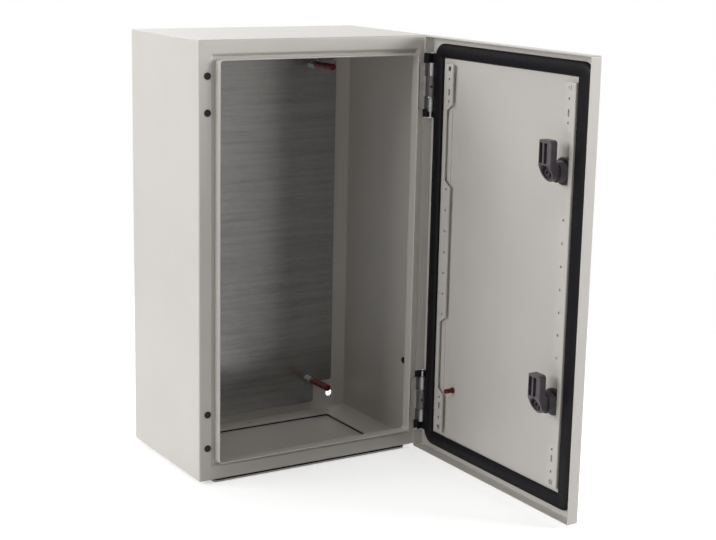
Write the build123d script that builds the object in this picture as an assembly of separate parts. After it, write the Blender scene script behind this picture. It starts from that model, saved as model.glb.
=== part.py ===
from build123d import *
from math import cos, radians, sin, tan
import os

# Steel wall enclosure with a hinged door, two quarter-turn locks, a mounting plate and a gland plate.
# Millimetres. +X is the hinge side, +Y points into the wall and +Z is up.
# The origin is the middle of the four wall-fixing holes, on the back face.
# The door is drawn closed and then swung open about its hinge axis.

# Body, folded from one sheet and welded
body_width = 300.0
body_height = 500.0
body_depth = 180.0
body_sheet = 1.5
body_bend = 2.0

# Front frame: a flat flange, a slope, a rain gutter and a sealing lip
flange_width = 15.0
slope_width = 3.0
gutter_width = 2.8
gutter_depth = 3.5
lip_height = 9.0
lip_corner = 3.5
fold_radius = 1.25

# Wall fixing and the small holes of the body
wall_hole_inset_x = 25.0
wall_hole_inset_z = 20.0
wall_hole_diameter = 9.0
side_hole_diameter = 5.0
side_hole_setback = 36.7
side_hole_height = 96.8

# Hinges, with the same fixing holes in both flanges so that the door can be turned round
hinge_inset = 59.0
hinge_axis_inset = 4.0
hinge_axis_reach = 9.8
hinge_screw_inset = 10.5
hinge_screw_pitch = 40.0
hinge_screw_diameter = 5.0
hinge_pin_diameter = 4.0
knuckle_radius = 3.8
leaf_knuckle_length = 24.0
leaf_length = 54.0
leaf_thickness = 2.5
leaf_inner_reach = 11.5
leaf_outer_reach = 1.0
leaf_gusset = 2.0
carrier_knuckle_length = 15.0
carrier_knuckle_gap = 0.4
tip_knuckle_length = 15.5
tip_knuckle_gap = 1.5
pin_tip_length = 7.0
bracket_thickness = 1.2
bracket_inner_reach = 9.4
bracket_outer_reach = 3.2
bracket_margin = 0.5
cutout_above = 39.0
cutout_below = 37.0
set_screw_diameter = 3.4
set_screw_turn = 30.0
set_screw_recess = 0.9

# Door pan
door_depth = 14.0
door_sheet = 1.2
door_bend = 2.0
door_gap = 1.5
door_open_angle = 90.0

# Foam gasket of the door
gasket_width = 14.0
gasket_height = 5.0
gasket_crown = 2.2
gasket_corner = 2.5

# Perforated stiffening rails of the door
rail_inset = 32.0
rail_sheet = 1.2
rail_height = 5.3
rail_end_gap = 30.0
rail_top_width = 16.5
rail_neck_width = 5.5
rail_foot_width = 12.0
rail_fold_radius = 1.0
rail_neck_half = 41.0
rail_taper_half = 48.0
rail_hole_inset = 9.6
rail_big_hole = 6.0
rail_small_hole = 3.0
rail_slot_length = 8.0
rail_big_inset = 5.0
rail_outer_inset = 17.0
rail_slot_inset = 32.0
rail_inner_inset = 42.5
rail_hole_pitch = 25.0
rail_stud_base = 8.0
rail_stud_rise = 0.9
rail_stud_dimple = 1.1

# Quarter-turn locks
lock_inset = 48.5
lock_end_inset = 124.0
lock_flange_radius = 14.0
lock_flange = 2.5
lock_seal = 0.8
lock_barrel_radius = 11.0
lock_barrel_length = 14.0
lock_neck_radius = 9.5
lock_neck_length = 3.0
lock_flat = 9.9
lock_nut_radius = 15.0
lock_nut_height = 3.8
core_radius = 8.0
core_head_radius = 9.5
core_head = 1.8
core_square = 8.0
core_socket_radius = 4.2
core_socket_depth = 7.0
core_peg_radius = 1.6
core_bit_radius = 6.3
core_bit_width = 2.8
cam_width = 20.0
cam_reach = 34.5
cam_near = 20.5
cam_thickness = 9.0
cam_corner = 4.0
cam_edge = 1.6
cam_slope_start = 8.5
cam_slope_angle = 25.0
cam_recess_radius = 7.75
cam_pocket_width = 5.0
cam_pocket_start = 9.5
cam_pocket_end = 31.0
cam_pocket_depth = 7.0
cam_pocket_wall = 2.0
cam_pocket_rib = 2.5
cam_screw_diameter = 5.0
cam_screw_length = 10.0
cam_screw_flange_radius = 6.8
cam_screw_flange = 1.2
cam_screw_head_radius = 4.5
cam_screw_head = 2.8
cam_screw_socket = 2.0

# Earthing stud of the door
earth_stud_inset = 63.5
earth_stud_height = 86.0
earth_stud_diameter = 4.0
earth_base_diameter = 6.5
earth_cap_length = 11.0
earth_cap_diameter = 5.6
earth_collar_diameter = 7.0
earth_collar = 1.5

# Mounting plate on four welded studs
plate_side_gap = 28.0
plate_end_gap = 15.0
plate_sheet = 2.0
plate_standoff = 8.5
plate_notch = 27.0
plate_corner = 3.0
plate_stud_inset_x = 32.0
plate_stud_inset_z = 31.0
plate_stud_diameter = 6.0
plate_stud_length = 54.5
plate_collar_diameter = 12.0
plate_washer_diameter = 12.0
plate_washer = 1.6
plate_nut_flats = 10.0
plate_nut = 5.0
stud_cap_length = 37.0
stud_cap_diameter = 8.3
stud_cap_overhang = 3.0

# Gland opening, gasket and plate in the floor
gland_opening_side_gap = 42.0
gland_opening_setback = 25.0
gland_opening_rear_gap = 26.5
gland_opening_corner = 4.0
gland_plate_side_gap = 20.0
gland_plate_setback = 1.5
gland_plate_rear_gap = 7.0
gland_plate_corner = 5.0
gland_plate_sheet = 2.0
gland_gasket = 2.0
gland_screw_side_gap = 35.0
gland_screw_setback = 12.0
gland_screw_rear_gap = 16.0
gland_screw_diameter = 4.0
gland_screw_head_diameter = 8.4

# Blanking plugs and fits
plug_head_diameter = 8.0
plug_head = 1.2
plug_length = 6.0
plug_wall = 1.0
pan_head_diameter = 7.8
pan_head = 3.1
fixed_fit = 0.01
running_fit = 0.05
running_gap = 0.3
small_round = 0.6

# Places worked out from the sizes above
half_width = body_width / 2
half_height = body_height / 2
front = -body_depth
rim = front - door_gap
door_face = rim - door_depth
skin = door_face + door_sheet
axis_x = half_width - hinge_axis_inset
axis_y = front - hinge_axis_reach
lip_inset = flange_width + slope_width + gutter_width
plate_back = -(body_sheet + plate_standoff)
plate_front = plate_back - plate_sheet
gasket_inset = lip_inset + body_sheet / 2 - gasket_width / 2
hinge_screw_x = half_width - hinge_screw_inset
lock_x = lock_inset - half_width
leaf_half = leaf_knuckle_length / 2
hinge_height = half_height - hinge_inset
lock_height = half_height - lock_end_inset
rail_length = body_height - 2 * rail_end_gap
plate_width = body_width - 2 * plate_side_gap
plate_height = body_height - 2 * plate_end_gap
plate_stud_x = plate_width / 2 - plate_stud_inset_x
plate_stud_z = plate_height / 2 - plate_stud_inset_z
wall_hole_x = half_width - wall_hole_inset_x
wall_hole_z = half_height - wall_hole_inset_z
wall_holes = [(x * wall_hole_x, z * wall_hole_z) for x in (-1, 1) for z in (-1, 1)]
hinge_screw_heights = [
    side * hinge_height + end * hinge_screw_pitch / 2 for side in (-1, 1) for end in (-1, 1)
]
plate_studs = [(x * plate_stud_x, z * plate_stud_z) for x in (-1, 1) for z in (-1, 1)]
gland_opening_width = body_width - 2 * gland_opening_side_gap
gland_opening_depth = body_depth - gland_opening_setback - gland_opening_rear_gap
gland_plate_width = body_width - 2 * gland_plate_side_gap
gland_plate_depth = body_depth - gland_plate_setback - gland_plate_rear_gap
gland_screw_x = half_width - gland_screw_side_gap
gland_screws = [
    (x * gland_screw_x, y)
    for x in (-1, 0, 1)
    for y in (front + gland_screw_setback, -gland_screw_rear_gap)
]


def rod(radius, start, end):
    """Cylinder along +Z from start to end."""
    return Pos(0, 0, (start + end) / 2) * Cylinder(radius, end - start)


def ring(outer, inner, start, end):
    """Tube along +Z."""
    return rod(outer, start, end) - rod(inner, start - 1, end + 1)


def facing_front(x, y, z):
    """Place whose +Z points out of the front of the enclosure, with +Y up."""
    return Plane(origin=(x, y, z), x_dir=(1, 0, 0), z_dir=(0, -1, 0))


def facing_wall(x, y, z):
    """Place whose +Z points towards the wall, with +Y up."""
    return Plane(origin=(x, y, z), x_dir=(-1, 0, 0), z_dir=(0, 1, 0))


def slab(sketch, back, thickness):
    """Sheet drawn as (x, z), from y = back towards the front."""
    return extrude(facing_front(0, back, 0) * sketch, amount=thickness)


def frame_of(section, inset, corner):
    """Carries a section, drawn as (inset, depth), round one quarter of the front and mirrors it."""
    start = Plane(origin=(0, front, -half_height), x_dir=(0, 0, 1), z_dir=(-1, 0, 0))
    reach_x = half_width - inset
    reach_z = half_height - inset
    points = [(0, front, -reach_z), (reach_x, front, -reach_z), (reach_x, front, 0)]
    path = FilletPolyline(*points, radius=corner) if corner else Polyline(*points)
    quarter = sweep((start * section).face(), path=path.wire(), transition=Transition.RIGHT)
    half = quarter + mirror(quarter, about=Plane.YZ)
    return half + mirror(half, about=Plane.XY)


def swung_open(piece):
    """Turns a piece of the closed door about the hinge axis."""
    return Pos(axis_x, axis_y, 0) * Rot(0, 0, door_open_angle) * Pos(-axis_x, -axis_y, 0) * piece


def pan_screw(length):
    """Socket screw with its head on +Z and the seat of the head at 0."""
    screw = rod(hinge_screw_diameter / 2, -length, 0) + rod(pan_head_diameter / 2, 0, pan_head)
    top = screw.faces().sort_by(Axis.Z)[-1]
    screw = fillet(top.edges(), small_round)
    socket = extrude(RegularPolygon(pan_head_diameter / 4, 6), amount=pan_head / 2)
    return screw - Pos(0, 0, pan_head / 2 + running_gap) * socket


# Body shell
def make_body_shell():
    outer = Box(body_width, body_depth, body_height)
    outer = fillet(outer.edges(), body_bend)
    inner = Box(
        body_width - 2 * body_sheet, body_depth - 2 * body_sheet, body_height - 2 * body_sheet
    )
    inner = fillet(inner.edges(), body_bend - body_sheet)
    shell = Pos(0, front / 2, 0) * (outer - inner)

    # The flange ends where its fold into the slope begins
    flange_end = flange_width - fold_radius
    opening = Rectangle(body_width - 2 * flange_end, body_height - 2 * flange_end)
    shell -= slab(opening, front + 2 * body_sheet, 4 * body_sheet)

    # Slope from the flange to the gutter, mitred at the corners
    middle = body_sheet / 2
    floor_start = flange_width + slope_width
    floor_mid = floor_start + gutter_width / 2
    slope_line = FilletPolyline(
        (flange_end, middle),
        (flange_width, middle),
        (floor_start, gutter_depth + middle),
        (floor_mid, gutter_depth + middle),
        radius=fold_radius,
    )
    shell += frame_of(trace(slope_line, line_width=body_sheet), floor_start, 0)

    # Gutter floor, square outside and rounded where the lip rises from it
    lip_middle = lip_inset + middle
    lip_foot = lip_middle - 2 * fold_radius
    foot_corner = lip_corner + lip_inset + body_sheet - lip_foot
    floor = Rectangle(body_width - 2 * floor_mid, body_height - 2 * floor_mid)
    floor -= RectangleRounded(body_width - 2 * lip_foot, body_height - 2 * lip_foot, foot_corner)
    shell += slab(floor, front + gutter_depth + body_sheet, body_sheet)

    # Sealing lip with a rounded crest
    crest = middle - lip_height
    lip_line = FilletPolyline(
        (lip_foot, gutter_depth + middle),
        (lip_middle, gutter_depth + middle),
        (lip_middle, crest),
        radius=fold_radius,
    )
    lip = trace(lip_line, line_width=body_sheet) + Pos(lip_middle, crest) * Circle(middle)
    shell += frame_of(lip, lip_inset + body_sheet, lip_corner)

    for x, z in wall_holes:
        shell -= facing_front(x, 0, z) * rod(wall_hole_diameter / 2, -1, 2 * body_sheet)
    for x in (-hinge_screw_x, hinge_screw_x):
        for z in hinge_screw_heights:
            hole = rod(hinge_screw_diameter / 2 + fixed_fit, -2 * body_sheet, 1)
            shell -= facing_front(x, front, z) * hole
    side_hole = Rot(0, 90, 0) * rod(side_hole_diameter / 2, -2 * body_sheet, 1)
    side_z = side_hole_height - half_height
    shell -= Pos(half_width, front + side_hole_setback, side_z) * side_hole

    gland_middle = front + gland_opening_setback + gland_opening_depth / 2
    gland = RectangleRounded(gland_opening_width, gland_opening_depth, gland_opening_corner)
    shell -= Pos(0, gland_middle, -half_height - 1) * extrude(gland, amount=2 + body_sheet)
    for x, y in gland_screws:
        shell -= Pos(x, y, -half_height) * rod(gland_screw_diameter / 2 + fixed_fit, -1, 2 * body_sheet)
    return shell


# Blanking plugs
def make_plug(diameter):
    """Hollow plug that snaps into a hole of the sheet, with its head on +Z and its seat at 0."""
    shank = diameter / 2 - fixed_fit
    plug = rod(plug_head_diameter / 2, 0, plug_head)
    plug = fillet(plug.faces().sort_by(Axis.Z)[-1].edges(), small_round)
    plug += rod(shank, -plug_length, 0)
    return plug - rod(shank - plug_wall, -plug_length - 1, -plug_head)


def make_hinge_hole_plugs():
    plug = make_plug(hinge_screw_diameter)
    return Compound([facing_front(-hinge_screw_x, front, z) * plug for z in hinge_screw_heights])


def make_side_hole_plug():
    side_z = side_hole_height - half_height
    place = Pos(half_width - body_sheet, front + side_hole_setback, side_z) * Rot(0, -90, 0)
    return place * make_plug(side_hole_diameter)


# Hinges, drawn about their axis with the pin tip pointing down
def leaf_section():
    """Knuckle, arm and gusset of the body leaf, seen along the pin."""
    pad_front = hinge_axis_reach - leaf_thickness
    arm = Polygon(
        (-knuckle_radius, 0),
        (leaf_outer_reach, 0),
        (leaf_outer_reach, pad_front),
        (-knuckle_radius - leaf_gusset, pad_front),
        (-knuckle_radius, pad_front - leaf_gusset),
        align=None,
    )
    return Circle(knuckle_radius) + arm


def set_screw_place():
    """Place on the pin axis whose +Z points out of the set-screw hole."""
    out = (-sin(radians(set_screw_turn)), -cos(radians(set_screw_turn)), 0)
    return Plane(origin=(0, 0, 0), x_dir=(0, 0, 1), z_dir=out)


def make_hinge_body_leaf():
    pad_width = leaf_inner_reach + leaf_outer_reach
    pad_middle = (leaf_outer_reach - leaf_inner_reach) / 2
    pad = Box(pad_width, leaf_thickness, leaf_length)
    pad = fillet(pad.edges().filter_by(Axis.Y).group_by(Axis.X)[0], 5 * small_round)
    leaf = Pos(pad_middle, hinge_axis_reach - leaf_thickness / 2, 0) * pad
    leaf += Pos(0, 0, -leaf_half) * extrude(leaf_section(), amount=leaf_knuckle_length)
    leaf -= rod(hinge_pin_diameter / 2 + fixed_fit, -leaf_length, leaf_length)
    for end in (-1, 1):
        hole = rod(hinge_screw_diameter / 2 + fixed_fit, -1, 2 * leaf_thickness)
        place = facing_front(hinge_screw_x - axis_x, hinge_axis_reach, end * hinge_screw_pitch / 2)
        leaf -= place * hole
    return leaf - set_screw_place() * rod(set_screw_diameter / 2 + fixed_fit, 0, 2 * knuckle_radius)


def make_set_screw():
    start = hinge_pin_diameter / 2 + fixed_fit
    end = knuckle_radius - set_screw_recess
    screw = rod(set_screw_diameter / 2, start, end)
    screw &= rod(knuckle_radius, -knuckle_radius, knuckle_radius)
    return set_screw_place() * screw


def make_hinge_pin():
    top = leaf_half + carrier_knuckle_gap + carrier_knuckle_length
    bottom = leaf_half + tip_knuckle_gap + tip_knuckle_length + pin_tip_length
    pin = rod(hinge_pin_diameter / 2, -bottom, top)
    return fillet(pin.faces().sort_by(Axis.Z)[0].edges(), small_round)


def make_knuckle(start, end):
    """Turned knuckle of the door bracket, with a ring groove near each end."""
    web = Rectangle(2 * knuckle_radius, hinge_axis_reach, align=(Align.CENTER, Align.MAX))
    web &= Rectangle(2 * knuckle_radius, 2 * (axis_y - skin))
    knuckle = rod(knuckle_radius, start, end)
    groove = ring(knuckle_radius + 1, knuckle_radius - small_round / 2, -small_round / 2, small_round / 2)
    for z in (start + 2 * small_round, end - 2 * small_round):
        knuckle -= Pos(0, 0, z) * groove
    foot = extrude(scale(web, by=(0.7, 1, 1)), amount=end - start - 8 * small_round)
    return knuckle + Pos(0, 0, start + 4 * small_round) * foot


def make_hinge_door_bracket():
    low = -cutout_below + bracket_margin
    high = cutout_above - bracket_margin
    carrier = leaf_half + carrier_knuckle_gap
    tip = -leaf_half - tip_knuckle_gap
    pad_width = bracket_inner_reach + bracket_outer_reach
    pad = Pos(
        (bracket_outer_reach - bracket_inner_reach) / 2,
        skin - axis_y + bracket_thickness / 2,
        (low + high) / 2,
    ) * Box(pad_width, bracket_thickness, high - low)
    notch_edge = -(knuckle_radius + 2 * running_gap)
    notch = Box(
        bracket_outer_reach - notch_edge,
        4 * bracket_thickness,
        carrier - tip,
        align=(Align.MIN, Align.CENTER, Align.MIN),
    )
    bracket = pad - Pos(notch_edge, skin - axis_y, tip) * notch
    bracket += make_knuckle(carrier, carrier + carrier_knuckle_length)
    bracket += make_knuckle(tip - tip_knuckle_length, tip)
    return bracket - rod(hinge_pin_diameter / 2 + running_fit, -leaf_length, leaf_length)


def upper_hinge(piece):
    return Pos(axis_x, axis_y, hinge_height) * piece


def lower_hinge(piece):
    return mirror(upper_hinge(piece), about=Plane.XY)


def make_hinge_screws():
    length = body_sheet + leaf_thickness - running_gap
    screw = pan_screw(length)
    seat = front + body_sheet
    return Compound([facing_wall(hinge_screw_x, seat, z) * screw for z in hinge_screw_heights])


# Door
def make_door_panel():
    outer = Box(body_width, door_depth, body_height)
    inner = Box(body_width - 2 * door_sheet, door_depth, body_height - 2 * door_sheet)

    def rounded_pan(block, radius):
        edges = block.faces().sort_by(Axis.Y)[0].edges() + block.edges().filter_by(Axis.Y)
        return fillet(edges, radius)

    pan = rounded_pan(outer, door_bend) - Pos(0, door_sheet, 0) * rounded_pan(inner, door_bend - door_sheet)
    pan = Pos(0, rim - door_depth / 2, 0) * pan

    # The hinge-side return is cut away round each hinge
    cutout = Box(
        4 * door_sheet,
        2 * door_depth,
        cutout_above + cutout_below,
        align=(Align.CENTER, Align.MIN, Align.CENTER),
    )
    middle = hinge_height + (cutout_above - cutout_below) / 2
    for z in (-middle, middle):
        pan -= Pos(half_width, skin, z) * cutout

    # Lock holes with two flats that keep the barrels from turning
    hole = Circle(lock_barrel_radius + fixed_fit)
    hole &= Rectangle(4 * lock_barrel_radius, 2 * (lock_flat + fixed_fit))
    for z in (-lock_height, lock_height):
        pan -= slab(Pos(lock_x, z) * hole, skin + 1, 2 + door_sheet)
    return pan


def make_door_gasket():
    bottom = skin - front
    profile = Pos(gasket_inset, bottom) * Rectangle(gasket_width, gasket_height, align=Align.MIN)
    profile = fillet(profile.vertices().group_by(Axis.Y)[-1], gasket_crown)
    return frame_of(profile, gasket_inset + gasket_width, gasket_corner)


def rail_holes():
    """Pattern of the perforated flange, drawn as (distance from the web, height)."""
    pattern = []
    big = Circle(rail_big_hole / 2)
    small = Circle(rail_small_hole / 2)
    slot = SlotOverall(rail_slot_length, rail_small_hole, rotation=90)
    end = rail_length / 2
    for side in (-1, 1):
        pattern.append(Pos(rail_hole_inset, side * (end - rail_big_inset)) * big)
        pattern.append(Pos(rail_hole_inset, side * (end - rail_outer_inset)) * small)
        pattern.append(Pos(rail_hole_inset, side * (end - rail_slot_inset)) * slot)
        pattern.append(Pos(rail_hole_inset, side * (end - rail_inner_inset)) * small)

    # The row in the middle ends before the flange narrows
    steps = int((lock_height - rail_taper_half) / rail_hole_pitch)
    for step in range(-steps, steps + 1):
        pattern.append(Pos(rail_hole_inset, step * rail_hole_pitch) * small)
    return pattern


def make_rail():
    """Rail of the lock side: a folded channel whose perforated flange narrows beside each lock."""
    middle = rail_sheet / 2
    line = FilletPolyline(
        (rail_foot_width, middle),
        (middle, middle),
        (middle, rail_height - middle),
        (rail_top_width, rail_height - middle),
        radius=rail_fold_radius,
    )
    section = trace(line, line_width=rail_sheet)
    rail = Pos(0, 0, -rail_length / 2) * extrude(section, amount=rail_length)
    top = rail_height + 1
    depth = rail_sheet + 1 + middle
    for side in (-1, 1):
        neck = Polygon(
            (rail_neck_width, -rail_neck_half),
            (rail_top_width, -rail_taper_half),
            (rail_top_width + 1, -rail_taper_half),
            (rail_top_width + 1, rail_taper_half),
            (rail_top_width, rail_taper_half),
            (rail_neck_width, rail_neck_half),
            align=None,
        )
        rail -= slab(Pos(0, side * lock_height) * neck, top, depth)
    for hole in rail_holes():
        rail -= slab(hole, top, depth)
    return Pos(rail_inset - half_width, skin, 0) * rail


def make_lock_side_rail():
    """The foot of this rail makes room for the lock nuts."""
    rail = make_rail()
    room = Circle(lock_nut_radius + fixed_fit + small_round / 3)
    for z in (-lock_height, lock_height):
        rail -= slab(Pos(lock_x, z) * room, skin + rail_sheet + fixed_fit, 2 * rail_sheet)
    return rail


def make_hinge_side_rail():
    return mirror(make_rail(), about=Plane.YZ)


def make_rail_stud():
    top = rail_height + rail_stud_rise - rail_sheet
    stud = rod(rail_big_hole / 2 - fixed_fit, 0, top)
    stud = fillet(stud.faces().sort_by(Axis.Z)[-1].edges(), small_round)
    stud += rod(rail_stud_base / 2, 0, body_sheet)
    stud -= rod(rail_stud_dimple, top - rail_stud_dimple, top + 1)
    x = rail_inset - half_width + rail_hole_inset
    return facing_wall(x, skin + rail_sheet, rail_length / 2 - rail_big_inset) * stud


# Locks, drawn with +Z along the lock axis from the inside of the door skin and +Y up
outer_skin = -door_sheet
seal_face = outer_skin - lock_seal
lock_face = seal_face - lock_flange
lock_end = lock_barrel_length + lock_neck_length
cam_start = lock_end + running_gap
cam_face = cam_near + cam_thickness


def make_lock_housing():
    barrel = Circle(lock_barrel_radius) & Rectangle(4 * lock_barrel_radius, 2 * lock_flat)
    housing = Pos(0, 0, seal_face) * extrude(barrel, amount=lock_barrel_length - seal_face)
    flange = rod(lock_flange_radius, lock_face, seal_face)
    housing += fillet(flange.faces().sort_by(Axis.Z)[0].edges(), 2 * small_round)
    housing += rod(lock_neck_radius, lock_barrel_length, lock_end)
    housing -= rod(core_radius + running_fit, lock_face - 1, lock_end + 1)
    return housing - rod(core_head_radius + running_fit, lock_face - 1, lock_face + core_head)


def make_lock_nut():
    nut = rod(lock_nut_radius, 0, lock_nut_height)
    nut = chamfer(nut.faces().sort_by(Axis.Z)[-1].edges(), small_round)
    return nut - rod(lock_barrel_radius + fixed_fit, -1, lock_nut_height + 1)


def make_lock_seal():
    return ring(lock_flange_radius - small_round, lock_barrel_radius + fixed_fit, seal_face, outer_skin)


def make_lock_core():
    head_face = lock_face + 2 * running_fit
    head_back = lock_face + core_head - 2 * running_fit
    core = rod(core_head_radius, head_face, head_back) + rod(core_radius, head_back, lock_end)
    square = Rectangle(core_square, core_square)
    core += Pos(0, 0, lock_end) * extrude(square, amount=cam_near - running_gap - lock_end)
    core -= rod(cam_screw_diameter / 2 + fixed_fit, cam_near - cam_screw_length - 1, cam_near)

    # Keyway for a double-bit key
    keyway = Circle(core_socket_radius) + Rectangle(2 * core_bit_radius, core_bit_width)
    keyway -= Circle(core_peg_radius)
    return core - Pos(0, 0, head_face) * extrude(keyway, amount=core_socket_depth)


def make_lock_cam():
    """Cast arm with a sloping nose, a screw recess and two pockets between ribs."""
    fall = (cam_slope_start + cam_width / 2) * tan(radians(cam_slope_angle))
    side = Polygon(
        (-cam_width / 2, cam_start),
        (cam_width / 2, cam_start),
        (cam_width / 2, cam_near),
        (cam_reach, cam_near),
        (cam_reach, cam_face),
        (cam_slope_start, cam_face),
        (-cam_width / 2, cam_face - fall),
        align=None,
    )
    across = Plane(origin=(-cam_width / 2, 0, 0), x_dir=(0, 1, 0), z_dir=(1, 0, 0))
    cam = extrude(across * side, amount=cam_width)
    long_edges = cam.edges().filter_by(Axis.Y).group_by(Axis.Z)[-1]
    cam = fillet(long_edges, cam_edge)
    arm = Pos(0, cam_reach / 2) * Rectangle(cam_width, cam_reach)
    arm = fillet(arm.vertices().group_by(Axis.Y)[-1], cam_corner)
    cam &= extrude(arm + Circle(cam_width / 2), amount=2 * cam_face)

    cam -= rod(cam_recess_radius, cam_near, 2 * cam_face)
    square = Rectangle(core_square + 2 * fixed_fit, core_square + 2 * fixed_fit)
    cam -= extrude(square, amount=2 * cam_face)
    pocket_length = cam_pocket_end - cam_pocket_start
    first = -cam_width / 2 + cam_pocket_wall + cam_pocket_width / 2
    for x in (first, first + cam_pocket_width + cam_pocket_rib):
        pocket = RectangleRounded(cam_pocket_width, pocket_length, 2 * small_round)
        pocket = Pos(x, cam_pocket_start + pocket_length / 2, cam_face - cam_pocket_depth) * pocket
        cam -= extrude(pocket, amount=cam_thickness)
    return cam


def make_cam_screw():
    screw = rod(cam_screw_diameter / 2, -cam_screw_length, cam_screw_flange)
    screw += rod(cam_screw_flange_radius, 0, cam_screw_flange)
    screw += rod(cam_screw_head_radius, 0, cam_screw_flange + cam_screw_head)
    screw = fillet(screw.faces().sort_by(Axis.Z)[-1].edges(), small_round)
    socket = extrude(RegularPolygon(cam_screw_socket, 6), amount=cam_screw_head)
    screw -= Pos(0, 0, cam_screw_flange + cam_screw_head / 3) * socket
    return Pos(0, 0, cam_near) * screw


def on_lock(piece, height):
    return swung_open(facing_wall(lock_x, skin, height) * piece)


# Earthing stud of the door
def earth_place():
    return facing_wall(half_width - earth_stud_inset, skin, earth_stud_height - half_height)


def make_earth_stud():
    stud = rod(earth_base_diameter / 2, 0, door_sheet)
    stud += rod(earth_stud_diameter / 2, 0, earth_cap_length)
    return earth_place() * stud


def make_earth_cap():
    start = door_sheet
    end = start + earth_cap_length
    cap = rod(earth_cap_diameter / 2, start, end)
    cap = fillet(cap.faces().sort_by(Axis.Z)[-1].edges(), small_round)
    cap += rod(earth_collar_diameter / 2, start, start + earth_collar)
    return earth_place() * (cap - rod(earth_stud_diameter / 2 + fixed_fit, 0, earth_cap_length + fixed_fit))


# Mounting plate and its studs, drawn with +Z towards the front
def make_mounting_plate():
    plate = Rectangle(plate_width, plate_height)
    plate -= Rectangle(plate_width, plate_height) - (
        Rectangle(plate_width - 2 * plate_notch, plate_height)
        + Rectangle(plate_width, plate_height - 2 * plate_notch)
    )
    plate = fillet(plate.vertices(), plate_corner)
    for x, z in plate_studs:
        plate -= Pos(x, z) * Circle(plate_stud_diameter / 2 + fixed_fit)
    return slab(plate, plate_back, plate_sheet)


def on_plate_studs(piece, start):
    """Copies a piece, drawn along +Z from 0, to the four studs from y = start forwards."""
    return Compound([facing_front(x, start, z) * piece for x, z in plate_studs])


def make_plate_studs():
    stud = rod(plate_stud_diameter / 2, 0, plate_stud_length)
    stud = chamfer(stud.faces().sort_by(Axis.Z)[-1].edges(), small_round)
    stud += rod(plate_collar_diameter / 2, 0, plate_standoff)
    return on_plate_studs(stud, -body_sheet)


def make_plate_washers():
    washer = ring(plate_washer_diameter / 2, plate_stud_diameter / 2 + fixed_fit, 0, plate_washer)
    return on_plate_studs(washer, plate_front)


def make_plate_nuts():
    nut = extrude(RegularPolygon(plate_nut_flats / 2, 6, major_radius=False), amount=plate_nut)
    nut &= chamfer(rod(plate_nut_flats / 2 / cos(radians(30)), 0, plate_nut).edges(), small_round)
    nut -= rod(plate_stud_diameter / 2 + fixed_fit, -1, plate_nut + 1)
    return on_plate_studs(nut, plate_front - plate_washer)


def make_stud_caps():
    cap = rod(stud_cap_diameter / 2, 0, stud_cap_length)
    cap = fillet(cap.faces().sort_by(Axis.Z)[-1].edges(), 2 * small_round)
    cap -= rod(plate_stud_diameter / 2 + fixed_fit, -1, stud_cap_length - stud_cap_overhang)
    end = -body_sheet - plate_stud_length - stud_cap_overhang
    return on_plate_studs(cap, end + stud_cap_length)


# Gland plate under the floor
def gland_outline():
    middle = front + gland_plate_setback + gland_plate_depth / 2
    return Pos(0, middle) * RectangleRounded(gland_plate_width, gland_plate_depth, gland_plate_corner)


def make_gland_gasket():
    middle = front + gland_opening_setback + gland_opening_depth / 2
    seal = gland_outline()
    seal -= Pos(0, middle) * RectangleRounded(
        gland_opening_width, gland_opening_depth, gland_opening_corner
    )
    for x, y in gland_screws:
        seal -= Pos(x, y) * Circle(gland_screw_diameter / 2 + fixed_fit)
    return Pos(0, 0, -half_height - gland_gasket) * extrude(seal, amount=gland_gasket)


def make_gland_plate():
    bottom = -half_height - gland_gasket - gland_plate_sheet
    plate = Pos(0, 0, bottom) * extrude(gland_outline(), amount=gland_plate_sheet)
    for x, y in gland_screws:
        plate -= Pos(x, y, bottom) * countersunk_head(fixed_fit)
    return plate


def countersunk_head(clearance):
    """Cone as deep as the gland plate, with its wide end at 0."""
    wide = gland_screw_head_diameter / 2 + clearance
    narrow = gland_screw_diameter / 2 + clearance
    return Pos(0, 0, gland_plate_sheet / 2) * Cone(wide, narrow, gland_plate_sheet)


def make_gland_screws():
    bottom = -half_height - gland_gasket - gland_plate_sheet
    length = gland_plate_sheet + gland_gasket + body_sheet
    screw = countersunk_head(0) + rod(gland_screw_diameter / 2, gland_plate_sheet / 2, length)
    screw -= extrude(RegularPolygon(gland_screw_diameter / 3, 6), amount=gland_plate_sheet / 2)
    return Compound([Pos(x, y, bottom) * screw for x, y in gland_screws])


parts = {
    "body_shell": make_body_shell(),
    "hinge_hole_plugs": make_hinge_hole_plugs(),
    "side_hole_plug": make_side_hole_plug(),
    "gland_gasket": make_gland_gasket(),
    "gland_plate": make_gland_plate(),
    "gland_screws": make_gland_screws(),
    "mounting_plate": make_mounting_plate(),
    "plate_studs": make_plate_studs(),
    "plate_washers": make_plate_washers(),
    "plate_nuts": make_plate_nuts(),
    "stud_caps": make_stud_caps(),
    "hinge_screws": make_hinge_screws(),
    "door_panel": swung_open(make_door_panel()),
    "door_gasket": swung_open(make_door_gasket()),
    "hinge_side_rail": swung_open(make_hinge_side_rail()),
    "lock_side_rail": swung_open(make_lock_side_rail()),
    "rail_stud": swung_open(make_rail_stud()),
    "door_earth_stud": swung_open(make_earth_stud()),
    "door_earth_cap": swung_open(make_earth_cap()),
}
for side, placed in (("upper", upper_hinge), ("lower", lower_hinge)):
    parts[side + "_hinge_body_leaf"] = placed(make_hinge_body_leaf())
    parts[side + "_hinge_pin"] = placed(make_hinge_pin())
    parts[side + "_hinge_set_screw"] = placed(make_set_screw())
    parts[side + "_hinge_door_bracket"] = swung_open(placed(make_hinge_door_bracket()))
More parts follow.
